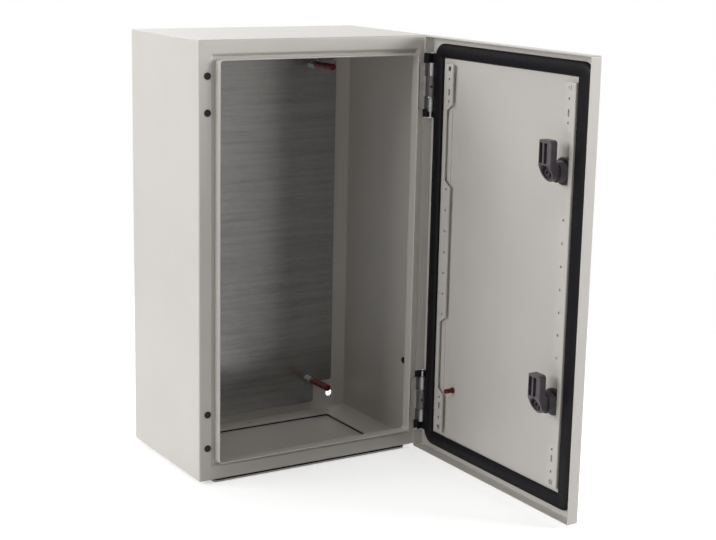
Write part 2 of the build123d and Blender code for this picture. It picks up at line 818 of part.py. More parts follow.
for side, height in (("upper", lock_height), ("lower", -lock_height)):
    parts[side + "_lock_housing"] = on_lock(make_lock_housing(), height)
    parts[side + "_lock_seal"] = on_lock(make_lock_seal(), height)
    parts[side + "_lock_nut"] = on_lock(make_lock_nut(), height)
    parts[side + "_lock_core"] = on_lock(make_lock_core(), height)
    parts[side + "_lock_cam"] = on_lock(make_lock_cam(), height)
    parts[side + "_cam_screw"] = on_lock(make_cam_screw(), height)

os.makedirs("parts", exist_ok=True)
for name, piece in parts.items():
    export_step(piece, "parts/" + name + ".step")
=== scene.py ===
import math

import bpy
from bpy.props import FloatProperty, FloatVectorProperty, IntProperty, PointerProperty
from mathutils import Matrix, Vector


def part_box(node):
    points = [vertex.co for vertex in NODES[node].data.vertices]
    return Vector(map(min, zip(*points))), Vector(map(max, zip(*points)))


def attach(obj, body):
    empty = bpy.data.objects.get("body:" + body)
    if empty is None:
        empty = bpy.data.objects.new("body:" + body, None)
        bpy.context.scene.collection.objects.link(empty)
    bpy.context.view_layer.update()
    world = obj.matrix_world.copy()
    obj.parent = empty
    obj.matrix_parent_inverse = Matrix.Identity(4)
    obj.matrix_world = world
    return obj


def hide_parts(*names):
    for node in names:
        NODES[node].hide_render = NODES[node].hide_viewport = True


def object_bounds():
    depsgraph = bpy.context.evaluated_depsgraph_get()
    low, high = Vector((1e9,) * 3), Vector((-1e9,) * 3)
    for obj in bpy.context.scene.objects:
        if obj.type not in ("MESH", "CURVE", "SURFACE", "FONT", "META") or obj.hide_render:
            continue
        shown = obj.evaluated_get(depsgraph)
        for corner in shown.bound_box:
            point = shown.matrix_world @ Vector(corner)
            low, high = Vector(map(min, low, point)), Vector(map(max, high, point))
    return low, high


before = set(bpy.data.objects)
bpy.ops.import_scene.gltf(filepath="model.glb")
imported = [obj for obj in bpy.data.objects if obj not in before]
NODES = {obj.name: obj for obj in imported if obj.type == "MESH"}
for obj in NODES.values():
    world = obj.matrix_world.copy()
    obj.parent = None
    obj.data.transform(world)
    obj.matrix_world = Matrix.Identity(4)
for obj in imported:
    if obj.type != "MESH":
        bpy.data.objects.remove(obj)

bl_info = {
    "name": "Steel wall enclosure",
    "version": (1, 0, 0),
    "blender": (4, 5, 0),
    "location": "3D View > Sidebar > Enclosure",
    "description": "Finishes, small fittings and stage of a steel wall enclosure with its door open",
    "category": "Object",
}

CAD_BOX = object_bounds()
SIDES = ("upper", "lower")
# Tolerance in metres where places are compared
HAIR = 0.00001
# Distance in metres under which two points are made one
WELD = 0.000001
WHITE = (1.0, 1.0, 1.0, 1.0)


def both(name):
    """Names of the upper and the lower one of a pair of pieces."""
    return [side + "_" + name for side in SIDES]


# Settings


class FinishSettings(bpy.types.PropertyGroup):
    """Colours and grain of the finishes."""

    paint: FloatVectorProperty(
        name="Paint",
        description="Warm light grey powder coat",
        default=(0.60, 0.575, 0.54),
        size=3,
        subtype="COLOR",
    )
    paint_grain: FloatProperty(
        name="Paint grain",
        description="Width of one dimple of the powder coat",
        default=0.0011,
        unit="LENGTH",
    )
    galvanised: FloatVectorProperty(
        name="Galvanised sheet",
        description="Zinc of the mounting plate",
        default=(0.33, 0.33, 0.33),
        size=3,
        subtype="COLOR",
    )
    bright_zinc: FloatVectorProperty(
        name="Bright zinc",
        description="Plated studs, nuts, washers, gland screws, pins and door brackets",
        default=(0.34, 0.335, 0.33),
        size=3,
        subtype="COLOR",
    )
    # The near black of the cores and cam screws is painted shade of the lock's recess
    dark_cast: FloatVectorProperty(
        name="Dark cast metal",
        description="Lock cams, and in darker shades the barrels, nuts, cores and cam screws",
        default=(0.108, 0.093, 0.104),
        size=3,
        subtype="COLOR",
    )
    leaf_cast: FloatVectorProperty(
        name="Leaf casting",
        description="Grey casting of the hinge knuckles on the body",
        default=(0.15, 0.142, 0.14),
        size=3,
        subtype="COLOR",
    )
    foam: FloatVectorProperty(
        name="Foam",
        description="Closed-cell gasket foam",
        default=(0.006, 0.0052, 0.0065),
        size=3,
        subtype="COLOR",
    )
    # Besides the real plugs, this black is painted shade on the hinge pads and the hinge set screws
    nylon: FloatVectorProperty(
        name="Nylon",
        description="Blanking plugs, set screws and hinge pads",
        default=(0.006, 0.006, 0.007),
        size=3,
        subtype="COLOR",
    )
    vinyl: FloatVectorProperty(
        name="Vinyl",
        description="Dark red caps of the studs",
        default=(0.16, 0.006, 0.008),
        size=3,
        subtype="COLOR",
    )


class FittingSettings(bpy.types.PropertyGroup):
    """Sizes of the small fittings that are modelled here."""

    barrel_radius: FloatProperty(
        name="Barrel radius",
        description="Radius of a lock barrel under its thread",
        default=0.011,
        unit="LENGTH",
    )
    barrel_neck: FloatProperty(
        name="Barrel neck",
        description="Plain neck between the thread and the cam, to within half a pitch",
        default=0.003,
        unit="LENGTH",
    )
    barrel_pitch: FloatProperty(
        name="Barrel pitch",
        description="Pitch of the thread on a lock barrel",
        default=0.0015,
        unit="LENGTH",
    )
    stud_radius: FloatProperty(
        name="Stud radius",
        description="Radius of a plate stud under its thread",
        default=0.003,
        unit="LENGTH",
    )
    stud_pitch: FloatProperty(
        name="Stud pitch",
        description="Pitch of the thread on a plate stud",
        default=0.001,
        unit="LENGTH",
    )
    thread_rise: FloatProperty(
        name="Thread rise",
        description="Height of a thread's crest over the rod, as a share of its pitch",
        default=0.3,
    )
    thread_steps: IntProperty(
        name="Thread steps",
        description="Straight lengths in one turn of a thread",
        default=40,
    )
    # The hinge pads below are black painted shade in the gaps round the hinge knuckles
    shade_pad_depth: FloatProperty(
        name="Hinge pad thickness",
        description="Thickness of the black pads on the flange, behind a hinge",
        default=0.0016,
        unit="LENGTH",
    )
    door_shade_pad_share: FloatProperty(
        name="Door pad share",
        description="Thickness of the pads in the door's hinge cut-outs, as a share of the flange pads'",
        default=0.6,
    )
    shade_pad_overhang: FloatProperty(
        name="Pad overhang",
        description="How far the flange pads reach past the door bracket",
        default=0.001,
        unit="LENGTH",
    )
    shade_pad_gap: FloatProperty(
        name="Pad gap",
        description="Between a door pad and the door skin",
        default=0.0001,
        unit="LENGTH",
    )
    # The black part of a door bracket is painted shade round the hinge knuckles
    bracket_shade_depth: FloatProperty(
        name="Bracket plate",
        description="Thickness of the black part of a door bracket, on the door skin",
        default=0.0014,
        unit="LENGTH",
    )
    leaf_bare: FloatProperty(
        name="Bare part of a leaf",
        description="From the middle of the hinge pin to where the leaf's paint ends, in pin diameters",
        default=1.1,
    )
    gasket_inset: FloatProperty(
        name="Gasket inset",
        description="From the edge of the door to the outer side of the gasket",
        default=0.0078,
        unit="LENGTH",
    )
    gasket_width: FloatProperty(
        name="Gasket width",
        description="Width of the foam strip",
        default=0.0162,
        unit="LENGTH",
    )
    gasket_lock_side: FloatProperty(
        name="Extra width by the locks",
        description="How much wider the strip is on the side of the locks",
        default=0.0078,
        unit="LENGTH",
    )
    gasket_corner: FloatProperty(
        name="Gasket corner",
        description="Radius of the strip's middle at the corners",
        default=0.0095,
        unit="LENGTH",
    )


class StageSettings(bpy.types.PropertyGroup):
    """Camera and light of the stage."""

    camera_place: FloatVectorProperty(
        name="Camera place",
        description="Where the camera stands",
        default=(-0.8825, -1.6981, 0.3711),
        size=3,
        subtype="TRANSLATION",
        unit="LENGTH",
    )
    camera_heading: FloatProperty(
        name="Camera heading",
        description="Turn of the camera from +Y towards +X",
        default=math.radians(31.738),
        subtype="ANGLE",
    )
    camera_fall: FloatProperty(
        name="Camera fall",
        description="How far the camera looks down",
        default=math.radians(12.426),
        subtype="ANGLE",
    )
    camera_roll: FloatProperty(
        name="Camera roll",
        description="Turn of the camera about its own line of sight",
        default=math.radians(1.199),
        subtype="ANGLE",
    )
    camera_lens: FloatProperty(
        name="Lens",
        description="Focal length in millimetres on a sensor 36 mm wide",
        default=78.2,
    )
    floor_grey: FloatProperty(
        name="Floor grey",
        description="How much light the matt floor gives back",
        default=0.80,
    )
    floor_glow: FloatProperty(
        name="Floor glow",
        description="Brightness added to the floor near the enclosure, which lightens the shadow there",
        default=0.52,
    )
    shadow_reach: FloatProperty(
        name="Shadow reach",
        description="Distance from the middle of the floor where it starts to turn plain white",
        default=0.5,
        unit="LENGTH",
    )
    white_from: FloatProperty(
        name="White from",
        description="Distance from the middle of the floor where it is plain white",
        default=0.9,
        unit="LENGTH",
    )
    world_light: FloatProperty(
        name="World light",
        description="Strength of the soft light from all sides",
        default=0.01,
    )
    floor_size: FloatProperty(
        name="Floor size",
        description="Side of the floor",
        default=12.0,
        unit="LENGTH",
    )


def settings():
    """The scene's finish, fitting and stage settings."""
    scene = bpy.context.scene
    return scene.enclosure_finish, scene.enclosure_fitting, scene.enclosure_stage


# Shader maths


class Wire:
    """An output socket of a finish. Arithmetic on it adds Math nodes."""

    def __init__(self, finish, socket):
        self.finish = finish
        self.socket = socket

    def maths(self, operation, first, second):
        return self.finish.add("ShaderNodeMath", {"operation": operation}, {0: first, 1: second})

    def __add__(self, other):
        return self.maths("ADD", self, other)

    def __radd__(self, other):
        return self.maths("ADD", other, self)

    def __sub__(self, other):
        return self.maths("SUBTRACT", self, other)

    def __rsub__(self, other):
        return self.maths("SUBTRACT", other, self)

    def __mul__(self, other):
        return self.maths("MULTIPLY", self, other)

    def __rmul__(self, other):
        return self.maths("MULTIPLY", other, self)


class Nodes:
    """A node tree, built up one node at a time."""

    def __init__(self, owner):
        owner.use_nodes = True
        self.tree = owner.node_tree
        self.tree.nodes.clear()

    def add(self, kind, options=None, inputs=None, output=0):
        """Adds a node, sets its options and feeds its inputs with values or wires."""
        node = self.tree.nodes.new(kind)
        for name, value in (options or {}).items():
            setattr(node, name, value)
        for key, value in (inputs or {}).items():
            if isinstance(value, Wire):
                self.tree.links.new(value.socket, node.inputs[key])
            else:
                node.inputs[key].default_value = value
        return Wire(self, node.outputs[output])

    def end(self, kind, surface):
        """Ends the tree in its output node."""
        node = self.tree.nodes.new(kind)
        self.tree.links.new(surface.socket, node.inputs["Surface"])


class Finish(Nodes):
    """A procedural material on Object coordinates."""

    def __init__(self, name):
        self.material = bpy.data.materials.new(name)
        super().__init__(self.material)
        self.place = self.add("ShaderNodeTexCoord", output="Object")

    def stretched(self, x, y, z):
        """Object coordinates multiplied along each axis."""
        return self.add(
            "ShaderNodeVectorMath", {"operation": "MULTIPLY"}, {0: self.place, 1: (x, y, z)}
        )

    def noise(self, size, detail=2.0, where=None):
        """Cloudy value from 0 to 1 whose features are about as wide as size."""
        return self.add(
            "ShaderNodeTexNoise",
            {"noise_dimensions": "3D"},
            {"Vector": where or self.place, "Scale": 1.0 / size, "Detail": detail},
        )

    def cells(self, size, output="Distance"):
        """Cellular pattern whose cells are about as wide as size."""
        return self.add(
            "ShaderNodeTexVoronoi", {}, {"Vector": self.place, "Scale": 1.0 / size}, output
        )

    def spread(self, value, low, high, to_low, to_high):
        """Maps a stretch of a value to another, clamped at both ends."""
        return self.add(
            "ShaderNodeMapRange",
            {"clamp": True},
            {0: value, 1: low, 2: high, 3: to_low, 4: to_high},
        )

    def blend(self, factor, first, second):
        """Mixes two colours."""
        colours = [c if isinstance(c, Wire) else (*c, 1.0) for c in (first, second)]
        return self.add(
            "ShaderNodeMix",
            {"data_type": "RGBA"},
            {0: factor, 6: colours[0], 7: colours[1]},
            output=2,
        )

    def bump(self, height, depth, strength=1.0):
        """Normal from a height of 0 to 1 that stands depth metres tall."""
        return self.add(
            "ShaderNodeBump", {}, {"Height": height, "Distance": depth, "Strength": strength}, "Normal"
        )

    def shade(self, colour, roughness, metallic=0.0, normal=None, **constants):
        """Ends the finish in one Principled surface."""
        inputs = {"Base Color": colour, "Roughness": roughness, "Metallic": metallic}
        if not isinstance(colour, Wire):
            inputs["Base Color"] = (*colour, 1.0)
        if normal:
            inputs["Normal"] = normal
        for name, value in constants.items():
            inputs[name.replace("_", " ").title().replace("Ior", "IOR")] = value
        self.end("ShaderNodeOutputMaterial", self.add("ShaderNodeBsdfPrincipled", {}, inputs))
        return self.material


def darker(colour, share):
    """A colour with each channel multiplied by a share, below 1 to darken it."""
    return tuple(channel * share for channel in colour)


def powder_coat(name, colour, grain):
    """Semi-gloss textured powder coat with fine specks, and faint clouds in colour and gloss."""
    coat = Finish(name)
    dimples = coat.noise(grain, detail=1.0)
    clouds = coat.noise(0.09, detail=3.0)
    specks = coat.noise(grain / 3, detail=0.0)
    tint = coat.blend(coat.spread(clouds, 0.35, 0.65, 0.0, 1.0), darker(colour, 0.965), colour)
    tint = coat.blend(coat.spread(specks, 0.62, 0.8, 0.0, 0.25), tint, darker(colour, 0.8))
    rough = coat.spread(clouds + dimples * 0.4, 0.4, 1.0, 0.30, 0.40)
    return coat.shade(tint, rough, 0.0, coat.bump(dimples, 0.00006))


def galvanised_sheet(name, colour):
    """Hot-dip zinc with faint crystals and rolling lines across the sheet."""
    zinc = Finish(name)
    crystals = zinc.cells(0.004, "Color")
    crystal = zinc.add("ShaderNodeSeparateColor", {}, {"Color": crystals})
    fine = zinc.noise(0.0012, detail=3.0, where=zinc.stretched(0.06, 1.0, 1.0))
    bands = zinc.noise(0.006, detail=2.0, where=zinc.stretched(0.04, 1.0, 1.0))
    clouds = zinc.noise(0.04, detail=3.0)
    value = crystal * 0.06 + fine * 0.38 + bands * 0.5 + clouds * 0.14
    shade = zinc.spread(value, 0.34, 0.62, 0.0, 1.0)
    tint = zinc.blend(shade, darker(colour, 0.78), darker(colour, 1.1))
    rough = zinc.spread(value, 0.34, 0.62, 0.22, 0.27)
    return zinc.shade(tint, rough, 1.0, zinc.bump(fine + bands, 0.00003))


def plated(name, colour, roughness):
    """Bright zinc plating with slightly cloudy patches."""
    plate = Finish(name)
    clouds = plate.noise(0.003, detail=3.0)
    fine = plate.noise(0.0004, detail=1.0)
    tint = plate.blend(plate.spread(clouds, 0.3, 0.7, 0.0, 1.0), darker(colour, 0.8), colour)
    rough = plate.spread(clouds, 0.3, 0.7, roughness - 0.06, roughness + 0.08)
    return plate.shade(tint, rough, 0.9, plate.bump(fine, 0.000008))


def bracket_steel_and_shade(name, bright, dark, edge):
    """Door bracket: bright turned knuckles, and its foot on the door skin painted black as the shade
    round the knuckles.
    """
    steel = Finish(name)
    place = steel.add("ShaderNodeSeparateXYZ", {}, {"Vector": steel.place})
    # Mask of the bracket's foot within the given depth of the door skin, painted black as shade
    pad = steel.spread(place, edge - 0.0002, edge, 0.0, 1.0)
    turning = steel.noise(0.0005, detail=1.0, where=steel.stretched(0.05, 0.05, 1.0))
    clouds = steel.noise(0.002, detail=2.0)
    shade = steel.spread(turning * 0.6 + clouds * 0.5, 0.35, 0.75, 0.0, 1.0)
    tint = steel.blend(shade, darker(bright, 0.7), darker(bright, 1.15))
    tint = steel.blend(pad, tint, dark)
    metallic = steel.spread(pad, 0.0, 1.0, 0.9, 0.0)
    rough = steel.spread(shade, 0.0, 1.0, 0.38, 0.5)
    return steel.shade(tint, rough, metallic, steel.bump(turning, 0.00001))


def leaf_casting(name, dark, paint, edge):
    """Casting of a hinge leaf: painted with the body up to its arm, bare from there on."""
    leaf = Finish(name)
    place = leaf.add("ShaderNodeSeparateXYZ", {}, {"Vector": leaf.place})
    bare = leaf.spread(place, edge - 0.0001, edge + 0.0001, 0.0, 1.0)
    grain = leaf.noise(0.0006, detail=2.0)
    clouds = leaf.noise(0.005, detail=2.0)
    shade = leaf.spread(clouds, 0.35, 0.65, 0.85, 1.0)
    tint = leaf.blend(bare, paint, dark)
    tint = leaf.blend(shade, (0.0, 0.0, 0.0), tint)
    rough = leaf.spread(clouds + grain * 0.5, 0.4, 1.1, 0.34, 0.46)
    return leaf.shade(tint, rough, 0.0, leaf.bump(grain, 0.00003))


def dark_casting(name, colour, roughness):
    """Dark satin casting with a fine blasted grain."""
    cast = Finish(name)
    grain = cast.noise(0.0005, detail=2.0)
    clouds = cast.noise(0.006, detail=2.0)
    tint = cast.blend(cast.spread(clouds, 0.35, 0.65, 0.0, 1.0), darker(colour, 0.82), colour)
    rough = cast.spread(clouds + grain * 0.5, 0.4, 1.1, roughness - 0.05, roughness + 0.08)
    return cast.shade(tint, rough, 0.1, cast.bump(grain, 0.00003))


def gasket_foam(name, colour):
    """Matt black foam with open pores in its skin."""
    foam = Finish(name)
    pores = foam.cells(0.0007)
    waves = foam.noise(0.006, detail=2.0)
    depth = foam.spread(pores, 0.1, 0.6, 0.0, 1.0)
    tint = foam.blend(depth, darker(colour, 0.5), darker(colour, 1.4))
    rough = foam.spread(waves, 0.3, 0.7, 0.42, 0.58)
    normal = foam.bump(depth * 0.5 + waves * 1.5, 0.0001)
    return foam.shade(tint, rough, 0.0, normal, specular_ior_level=0.12)


def moulded(name, colour, roughness, grain_depth):
    """Moulded plastic with a fine spark-eroded grain."""
    plastic = Finish(name)
    grain = plastic.noise(0.0005, detail=2.0)
    clouds = plastic.noise(0.005, detail=2.0)
    tint = plastic.blend(plastic.spread(clouds, 0.35, 0.65, 0.0, 1.0), darker(colour, 0.8), colour)
    rough = plastic.spread(clouds, 0.3, 0.7, roughness - 0.05, roughness + 0.07)
    normal = plastic.bump(grain, grain_depth)
    return plastic.shade(tint, rough, 0.0, normal, specular_ior_level=0.25)


def finish_nodes(names, material):
    """Gives carried-over pieces their finish."""
    for name in names:
        mesh = NODES[name].data
        mesh.materials.clear()
        mesh.materials.append(material)


def kept(name, make):
    """A finish by its name, made the first time that it is asked for."""
    return bpy.data.materials.get(name) or make(name)


def barrel_metal():
    """Dark casting of the lock barrels, their nuts and their threads."""
    finish, _, _ = settings()
    colour = darker(finish.dark_cast, 0.5)
    return kept("dark_barrel_metal", lambda name: dark_casting(name, colour, roughness=0.42))


def bright_metal():
    """Bright zinc of the plated pieces and the stud threads."""
    finish, _, _ = settings()
    return kept("bright_zinc", lambda name: plated(name, finish.bright_zinc, roughness=0.30))


def foam_skin():
    """Foam of the gaskets, the lock seals and the strip in the door."""
    finish, _, _ = settings()
    return kept("gasket_foam", lambda name: gasket_foam(name, finish.foam))


def painted_shade_plastic():
    """Black of the hinge pads, painted shade in the gaps round the hinge knuckles."""
    finish, _, _ = settings()
    return kept("painted_shade_black", lambda name: moulded(name, finish.nylon, 0.5, 0.00002))


# Modelling


def select_none():
    """Leaves edit mode, if it is on, and selects nothing."""
    if bpy.context.object and bpy.context.object.mode != "OBJECT":
        bpy.ops.object.mode_set(mode="OBJECT")
    bpy.ops.object.select_all(action="DESELECT")


def close_piece(piece, name, body, material):
    """Puts a piece's place into its mesh, names it and lets it ride on its body."""
    select_none()
    piece.select_set(True)
    bpy.context.view_layer.objects.active = piece
    bpy.ops.object.transform_apply(location=True, rotation=True, scale=True)
    piece.name = name
    piece.data.name = name
    piece.data.materials.clear()
    piece.data.materials.append(material)
    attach(piece, body)
    return piece


def thread(radius, pitch, length, rise, steps):
    """Winds a three-sided ridge round a rod, from 0 along +Z, and closes both ends."""
    select_none()
    # Whole turns only, so the ridge ends within about half a pitch of length
    turns = max(1, round(length / pitch) - 1)
    half = pitch / 2
    bpy.ops.mesh.primitive_circle_add(
        vertices=3, radius=half, location=(radius, 0, half), fill_type="NOTHING"
    )
    ridge = bpy.context.object
    # The crest points away from the rod and the two other corners lie just inside it
    crest, low, high = ridge.data.vertices
    crest.co = (pitch * rise, 0, 0)
    root = -pitch * rise / 4
    # A tenth of the pitch stays free between two turns
    reach = pitch * 0.45
    low.co = (root, 0, -reach)
    high.co = (root, 0, reach)
    bpy.ops.object.transform_apply(location=True, rotation=True, scale=True)
    winding = ridge.modifiers.new("winding", "SCREW")
    winding.axis = "Z"
    winding.screw_offset = pitch
    winding.iterations = turns
    winding.steps = steps
    winding.render_steps = steps
    winding.use_smooth_shade = False
    bpy.ops.object.modifier_apply(modifier=winding.name)
    bpy.ops.object.mode_set(mode="EDIT")
    bpy.ops.mesh.select_all(action="DESELECT")
    bpy.ops.mesh.select_non_manifold()
    bpy.ops.mesh.edge_face_add()
    bpy.ops.mesh.select_all(action="SELECT")
    bpy.ops.mesh.normals_make_consistent(inside=False)
    bpy.ops.object.mode_set(mode="OBJECT")
    return ridge


# Operators


class ENCLOSURE_OT_paint_sheet_steel(bpy.types.Operator):
    """Powder coats the body, the door, its rails and stud, the gland plate and the hinge screws"""

    bl_idname = "enclosure.paint_sheet_steel"
    bl_label = "Paint the sheet steel"

    def execute(self, context):
        finish, _, _ = settings()
        coat = powder_coat("powder_coat", finish.paint, finish.paint_grain)
        finish_nodes(["body_shell", "door_panel", "hinge_side_rail", "lock_side_rail"], coat)
        finish_nodes(["gland_plate", "rail_stud", "hinge_screws"], coat)
        return {"FINISHED"}


class ENCLOSURE_OT_finish_mounting_plate(bpy.types.Operator):
    """Gives the mounting plate its galvanised sheet"""

    bl_idname = "enclosure.finish_mounting_plate"
    bl_label = "Finish the mounting plate"

    def execute(self, context):
        finish, _, _ = settings()
        finish_nodes(["mounting_plate"], galvanised_sheet("galvanised_sheet", finish.galvanised))
        return {"FINISHED"}


class ENCLOSURE_OT_finish_bright_hardware(bpy.types.Operator):
    """Gives studs, nuts, washers, gland screws, pins and door brackets their bright zinc, with painted
    shade on the brackets' feet
    """

    bl_idname = "enclosure.finish_bright_hardware"
    bl_label = "Finish the bright hardware"

    def execute(self, context):
        names = ["plate_studs", "plate_washers", "plate_nuts", "gland_screws"]
        names += ["door_earth_stud"] + both("hinge_pin")
        finish_nodes(names, bright_metal())
        finish, fitting, _ = settings()
        # The foam's black paints the shade on the foot of each bracket, by the door skin
        _, bracket_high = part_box("upper_hinge_door_bracket")
        edge = bracket_high.x - fitting.bracket_shade_depth
        steel = bracket_steel_and_shade("bracket_steel_and_shade", finish.bright_zinc, finish.foam, edge)
        finish_nodes(both("hinge_door_bracket"), steel)
        return {"FINISHED"}


class ENCLOSURE_OT_finish_dark_hardware(bpy.types.Operator):
    """Gives the locks their dark casting, near black on the cam screws and cores as painted shade of the
    lock's recess, and the hinge leaves their half painted one
    """

    bl_idname = "enclosure.finish_dark_hardware"
    bl_label = "Finish the dark hardware"

    def execute(self, context):
        finish, fitting, _ = settings()
        cast = dark_casting("dark_cast_metal", finish.dark_cast, roughness=0.42)
        finish_nodes(both("lock_cam"), cast)
        finish_nodes(both("lock_housing") + both("lock_nut"), barrel_metal())
        # Cam screws and lock cores are darkened to near black as painted shade of the lock's recess
        inner = dark_casting("lock_core_recess_shade", darker(finish.dark_cast, 0.2), roughness=0.5)
        finish_nodes(both("cam_screw") + both("lock_core"), inner)
        pin_low, pin_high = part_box("upper_hinge_pin")
        pin_width = pin_high.x - pin_low.x
        edge = (pin_low.x + pin_high.x) / 2 - fitting.leaf_bare * pin_width
        leaf = leaf_casting("leaf_casting", finish.leaf_cast, finish.paint, edge)
        finish_nodes(both("hinge_body_leaf"), leaf)
        return {"FINISHED"}


class ENCLOSURE_OT_finish_soft_parts(bpy.types.Operator):
    """Gives the gaskets, seals, plugs and caps their foam, nylon and vinyl, and the set screws a black
    that is painted shade of their holes
    """

    bl_idname = "enclosure.finish_soft_parts"
    bl_label = "Finish the soft parts"

    def execute(self, context):
        finish, _, _ = settings()
        finish_nodes(["door_gasket", "gland_gasket"] + both("lock_seal"), foam_skin())
        # The plugs are black nylon; on the hinge set screws the black is painted shade of their holes
        nylon = moulded("black_plug_and_hole_shade", finish.nylon, 0.35, 0.00002)
        finish_nodes(["hinge_hole_plugs", "side_hole_plug"] + both("hinge_set_screw"), nylon)
        vinyl = moulded("red_vinyl", finish.vinyl, 0.30, 0.00001)
        finish_nodes(["stud_caps", "door_earth_cap"], vinyl)
        return {"FINISHED"}


class ENCLOSURE_OT_lay_door_gasket(bpy.types.Operator):
    """Lays the crowned foam strip round the inside of the door"""

    bl_idname = "enclosure.lay_door_gasket"
    bl_label = "Lay the door gasket"

    corner_steps = 12
    crown_steps = 16
    # Upright part of the strip's side, as a share of its height
    side_share = 0.35
    smooth_angle = math.radians(40)

    def execute(self, context):
        _, fitting, _ = settings()
        door_low, door_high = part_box("door_panel")
        seat_low, seat_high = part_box("door_gasket")
        middle = (door_low + door_high) / 2
        inset = fitting.gasket_inset + fitting.gasket_width / 2
        width = door_high.y - door_low.y - 2 * inset
        height = door_high.z - door_low.z - 2 * inset
        strip = self.draw_path(width, height, fitting.gasket_corner)
        strip.data.twist_mode = "Z_UP"
        strip.data.bevel_mode = "OBJECT"
        profile = self.draw_profile(fitting.gasket_width, seat_high.x - seat_low.x)
        strip.data.bevel_object = profile
        bpy.ops.object.convert(target="MESH")
        gasket = bpy.context.object
        bpy.data.objects.remove(profile)
        bpy.ops.object.mode_set(mode="EDIT")
        bpy.ops.mesh.select_all(action="SELECT")
        bpy.ops.mesh.remove_doubles(threshold=WELD)
        bpy.ops.mesh.normals_make_consistent(inside=False)
        bpy.ops.object.mode_set(mode="OBJECT")
        self.widen_lock_side(gasket, width, height, fitting)
        bpy.ops.object.shade_smooth_by_angle(angle=self.smooth_angle)
        # Drawn flat with its crown on +Z, then stood on the door skin with the crown on -X
        gasket.matrix_world = Matrix.Translation((seat_high.x, middle.y, middle.z)) @ Matrix(
            ((0, 0, -1, 0), (1, 0, 0, 0), (0, -1, 0, 0), (0, 0, 0, 1))
        )
        close_piece(gasket, "foam_strip", "door", foam_skin())
        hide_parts("door_gasket")
        return {"FINISHED"}

    def widen_lock_side(self, gasket, width, height, fitting):
        """Pulls the inner half of the strip beside the locks towards the rail, row by row."""
        corner = fitting.gasket_corner
        rows = {}
        for vertex in gasket.data.vertices:
            across = vertex.co.x + width / 2 - corner
            along = max(0.0, abs(vertex.co.y) - height / 2 + corner)
            inward = corner - math.hypot(across, along)
            if across < HAIR and inward > HAIR:
                rows.setdefault(round(inward, 5), []).append(vertex.index)
        for inward, row in rows.items():
            bpy.ops.object.mode_set(mode="EDIT")
            bpy.ops.mesh.select_all(action="DESELECT")
            bpy.ops.object.mode_set(mode="OBJECT")
            for index in row:
                gasket.data.vertices[index].select = True
            bpy.ops.object.mode_set(mode="EDIT")
            pull = fitting.gasket_lock_side * inward / (fitting.gasket_width / 2)
            bpy.ops.transform.translate(value=(pull, 0.0, 0.0))
            bpy.ops.object.mode_set(mode="OBJECT")

    def draw_path(self, width, height, corner):
        """Rounded rectangle through the middle of the strip, lying flat."""
        select_none()
        bpy.ops.mesh.primitive_plane_add(size=1.0)
        path = bpy.context.object
        path.scale = (width, height, 1.0)
        bpy.ops.object.transform_apply(location=True, rotation=True, scale=True)
        bpy.ops.object.mode_set(mode="EDIT")
        bpy.ops.mesh.select_all(action="SELECT")
        bpy.ops.mesh.bevel(
            offset=corner, offset_type="OFFSET", segments=self.corner_steps, affect="VERTICES"
        )
        bpy.ops.mesh.select_all(action="SELECT")
        bpy.ops.mesh.delete(type="ONLY_FACE")
        bpy.ops.object.mode_set(mode="OBJECT")
        bpy.ops.object.convert(target="CURVE")
        return bpy.context.object

    def draw_profile(self, width, height):
        """Crowned section of the strip, flat underneath."""
        steps = self.crown_steps
        curve = bpy.data.curves.new("strip_section", "CURVE")
        curve.dimensions = "2D"
        line = curve.splines.new("POLY")
        line.points.add(steps + 2)
        side = height * self.side_share
        points = [(-width / 2, 0.0)]
        for step in range(steps + 1):
            turn = math.pi * (1 - step / steps)
            points.append((width / 2 * math.cos(turn), side + (height - side) * math.sin(turn)))
        points.append((width / 2, 0.0))
        for point, (x, y) in zip(line.points, points):
            point.co = (x, y, 0.0, 1.0)
        line.use_cyclic_u = True
        profile = bpy.data.objects.new("strip_section", curve)
        bpy.context.scene.collection.objects.link(profile)
        return profile


class ENCLOSURE_OT_shade_hinge_gaps(bpy.types.Operator):
    """Paints the shade in the gaps round the hinge knuckles as black pads on the flange and on the door
    """

    # The black pads stand in for the shade in the gaps round the hinge knuckles
    bl_idname = "enclosure.back_hinges"
    bl_label = "Back the hinges"

    # Width of a pad's eased edges, as a share of its thickness
    ease_share = 0.25
    ease_steps = 2

    def execute(self, context):
        _, fitting, _ = settings()
        for side in SIDES:
            leaf_low, leaf_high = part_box(side + "_hinge_body_leaf")
            steel_low, steel_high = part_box(side + "_hinge_door_bracket")
            right = steel_high.x - fitting.shade_pad_gap
            for end, foot, head in (
                ("foot", steel_low.z, leaf_low.z),
                ("head", leaf_high.z, steel_high.z),
            ):
                low = (steel_low.x - fitting.shade_pad_overhang, leaf_high.y - fitting.shade_pad_depth, foot)
                high = (leaf_high.x, leaf_high.y, head)
                self.lay_shade_pad(f"{side}_flange_shade_pad_{end}", low, high, "enclosure")
                low = (steel_low.x, steel_high.y - fitting.door_shade_pad_share * fitting.shade_pad_depth, foot)
                self.lay_shade_pad(f"{side}_door_shade_pad_{end}", low, (right, steel_high.y, head), "door")
        return {"FINISHED"}

    def lay_shade_pad(self, name, low, high, body):
        """A small black plate of painted shade between two corners, with eased edges."""
        size = Vector(high) - Vector(low)
        select_none()
        bpy.ops.mesh.primitive_cube_add(size=1.0, location=Vector(low) + size / 2)
        pad = bpy.context.object
        pad.scale = size
        bpy.ops.object.transform_apply(location=True, rotation=True, scale=True)
        bpy.ops.object.mode_set(mode="EDIT")
        bpy.ops.mesh.select_all(action="SELECT")
        bpy.ops.mesh.bevel(
            offset=min(size) * self.ease_share, segments=self.ease_steps, affect="EDGES"
        )
        bpy.ops.object.mode_set(mode="OBJECT")
        close_piece(pad, name, body, painted_shade_plastic())


